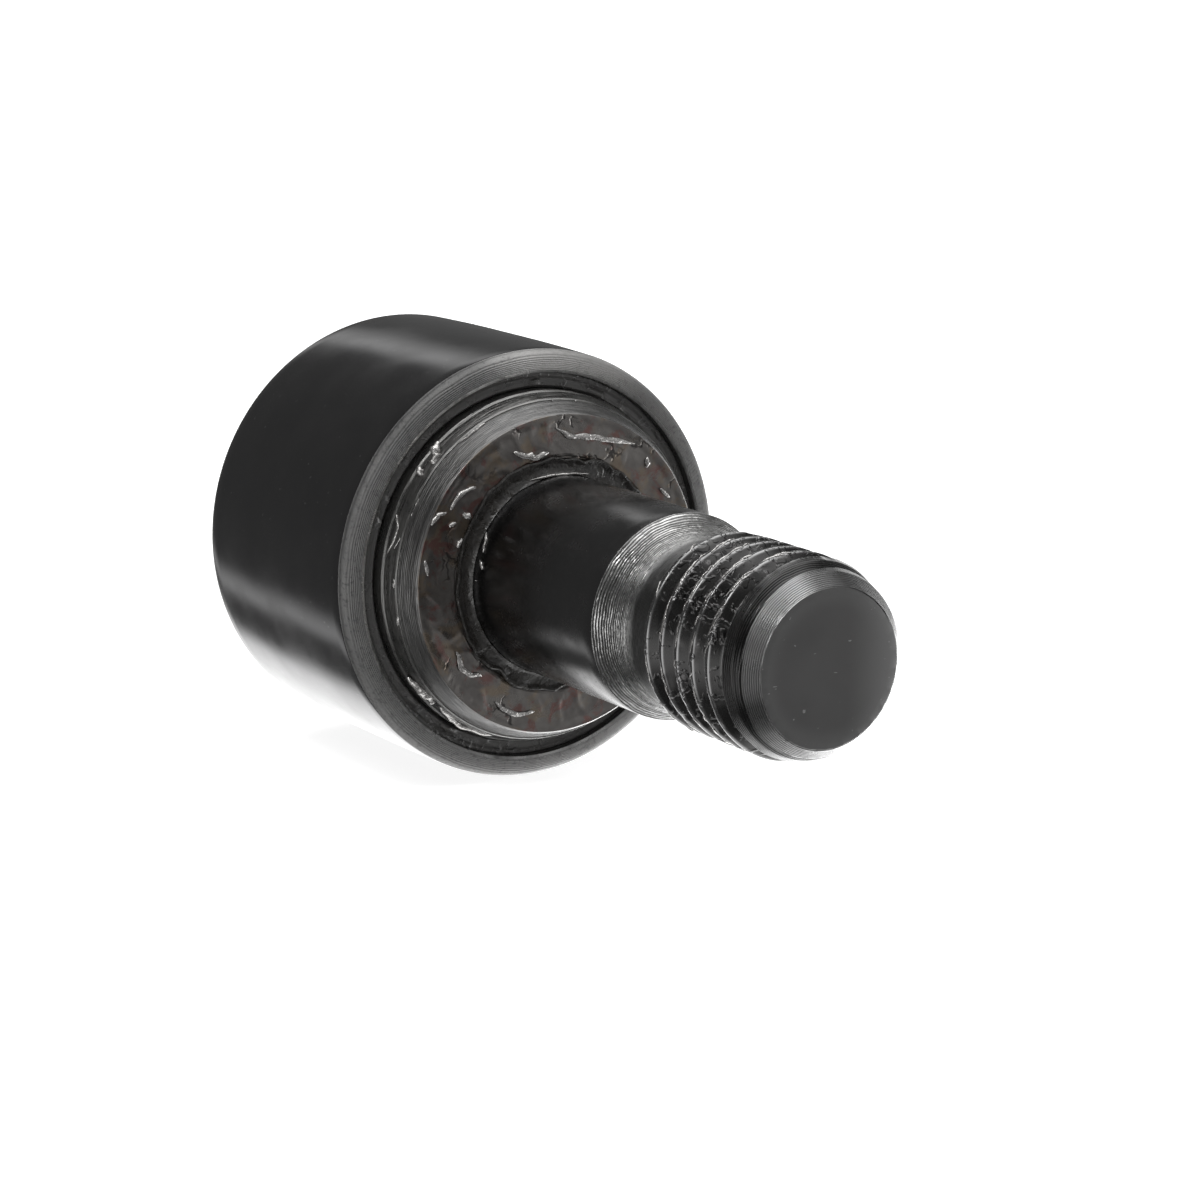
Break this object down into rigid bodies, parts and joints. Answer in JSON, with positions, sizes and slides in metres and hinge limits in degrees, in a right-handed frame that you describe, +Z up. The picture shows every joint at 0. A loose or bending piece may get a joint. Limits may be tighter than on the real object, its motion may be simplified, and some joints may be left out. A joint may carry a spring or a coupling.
{
  "type": "stud type cam follower",
  "caption": "Stud-type cam follower: a thick sealed outer ring turns on caged needle rollers around a headed stud with a threaded end.",
  "frame": {"origin": "on the roller's axis, in the plane of the end plate's outer face, which is the shoulder that bears on the machine", "axes": "-Y along the stud towards its threaded tip, +Y towards the head with the hexagon socket, +Z up"},
  "size_m": [0.022, 0.0412, 0.022],
  "materials": {
    "black_oxide_stud": "black oxide, oily, turned and thread-rolled",
    "black_oxide_ring": "black oxide, ground and polished",
    "plate_steel": "black oxide under a film of grease",
    "seal_rubber": "moulded nitrile rubber, greasy",
    "needle_steel": "ground and polished bearing steel",
    "cage_steel": "pressed steel, satin",
    "brass": "turned brass, satin"
  },
  "bodies": {
    "stud": {"stud": "black_oxide_stud", "end_plate": "plate_steel", "grease_fitting": "brass"},
    "outer_ring": {"outer_ring": "black_oxide_ring", "seal_stud_side": "seal_rubber", "seal_head_side": "seal_rubber"},
    "needle_cage": {"needle_cage": "cage_steel"},
    "needle_01": {"needle_01": "needle_steel"},
    "needle_02": {"needle_02": "needle_steel"},
    "needle_03": {"needle_03": "needle_steel"},
    "needle_04": {"needle_04": "needle_steel"},
    "needle_05": {"needle_05": "needle_steel"},
    "needle_06": {"needle_06": "needle_steel"},
    "needle_07": {"needle_07": "needle_steel"},
    "needle_08": {"needle_08": "needle_steel"},
    "needle_09": {"needle_09": "needle_steel"},
    "needle_10": {"needle_10": "needle_steel"},
    "needle_11": {"needle_11": "needle_steel"},
    "needle_12": {"needle_12": "needle_steel"},
    "needle_13": {"needle_13": "needle_steel"},
    "needle_14": {"needle_14": "needle_steel"}
  },
  "joints": [
    {"name": "outer_ring_spin", "type": "hinge", "parent": "stud", "child": "outer_ring", "pos_m": [0, 0.0097, 0], "axis": [0, -1, 0], "continuous": true},
    {"name": "cage_orbit", "type": "hinge", "parent": "stud", "child": "needle_cage", "pos_m": [0, 0.0097, 0], "axis": [0, -1, 0], "continuous": true},
    {"name": "needle_01_roll", "type": "hinge", "parent": "needle_cage", "child": "needle_01", "pos_m": [0.00731, 0.0097, 0.00167], "axis": [0, -1, 0], "continuous": true},
    {"name": "needle_02_roll", "type": "hinge", "parent": "needle_cage", "child": "needle_02", "pos_m": [0.00586, 0.0097, 0.00468], "axis": [0, -1, 0], "continuous": true},
    {"name": "needle_03_roll", "type": "hinge", "parent": "needle_cage", "child": "needle_03", "pos_m": [0.00325, 0.0097, 0.00676], "axis": [0, -1, 0], "continuous": true},
    {"name": "needle_04_roll", "type": "hinge", "parent": "needle_cage", "child": "needle_04", "pos_m": [0, 0.0097, 0.0075], "axis": [0, -1, 0], "continuous": true},
    {"name": "needle_05_roll", "type": "hinge", "parent": "needle_cage", "child": "needle_05", "pos_m": [-0.00325, 0.0097, 0.00676], "axis": [0, -1, 0], "continuous": true},
    {"name": "needle_06_roll", "type": "hinge", "parent": "needle_cage", "child": "needle_06", "pos_m": [-0.00586, 0.0097, 0.00468], "axis": [0, -1, 0], "continuous": true},
    {"name": "needle_07_roll", "type": "hinge", "parent": "needle_cage", "child": "needle_07", "pos_m": [-0.00731, 0.0097, 0.00167], "axis": [0, -1, 0], "continuous": true},
    {"name": "needle_08_roll", "type": "hinge", "parent": "needle_cage", "child": "needle_08", "pos_m": [-0.00731, 0.0097, -0.00167], "axis": [0, -1, 0], "continuous": true},
    {"name": "needle_09_roll", "type": "hinge", "parent": "needle_cage", "child": "needle_09", "pos_m": [-0.00586, 0.0097, -0.00468], "axis": [0, -1, 0], "continuous": true},
    {"name": "needle_10_roll", "type": "hinge", "parent": "needle_cage", "child": "needle_10", "pos_m": [-0.00325, 0.0097, -0.00676], "axis": [0, -1, 0], "continuous": true},
    {"name": "needle_11_roll", "type": "hinge", "parent": "needle_cage", "child": "needle_11", "pos_m": [0, 0.0097, -0.0075], "axis": [0, -1, 0], "continuous": true},
    {"name": "needle_12_roll", "type": "hinge", "parent": "needle_cage", "child": "needle_12", "pos_m": [0.00325, 0.0097, -0.00676], "axis": [0, -1, 0], "continuous": true},
    {"name": "needle_13_roll", "type": "hinge", "parent": "needle_cage", "child": "needle_13", "pos_m": [0.00586, 0.0097, -0.00468], "axis": [0, -1, 0], "continuous": true},
    {"name": "needle_14_roll", "type": "hinge", "parent": "needle_cage", "child": "needle_14", "pos_m": [0.00731, 0.0097, -0.00167], "axis": [0, -1, 0], "continuous": true}
  ],
  "couplings": [
    {"joint": "cage_orbit", "follows": "outer_ring_spin", "ratio": 0.58333},
    {"joint": "needle_01_roll", "follows": "outer_ring_spin", "ratio": 2.9167},
    {"joint": "needle_02_roll", "follows": "outer_ring_spin", "ratio": 2.9167},
    {"joint": "needle_03_roll", "follows": "outer_ring_spin", "ratio": 2.9167},
    {"joint": "needle_04_roll", "follows": "outer_ring_spin", "ratio": 2.9167},
    {"joint": "needle_05_roll", "follows": "outer_ring_spin", "ratio": 2.9167},
    {"joint": "needle_06_roll", "follows": "outer_ring_spin", "ratio": 2.9167},
    {"joint": "needle_07_roll", "follows": "outer_ring_spin", "ratio": 2.9167},
    {"joint": "needle_08_roll", "follows": "outer_ring_spin", "ratio": 2.9167},
    {"joint": "needle_09_roll", "follows": "outer_ring_spin", "ratio": 2.9167},
    {"joint": "needle_10_roll", "follows": "outer_ring_spin", "ratio": 2.9167},
    {"joint": "needle_11_roll", "follows": "outer_ring_spin", "ratio": 2.9167},
    {"joint": "needle_12_roll", "follows": "outer_ring_spin", "ratio": 2.9167},
    {"joint": "needle_13_roll", "follows": "outer_ring_spin", "ratio": 2.9167},
    {"joint": "needle_14_roll", "follows": "outer_ring_spin", "ratio": 2.9167}
  ]
}
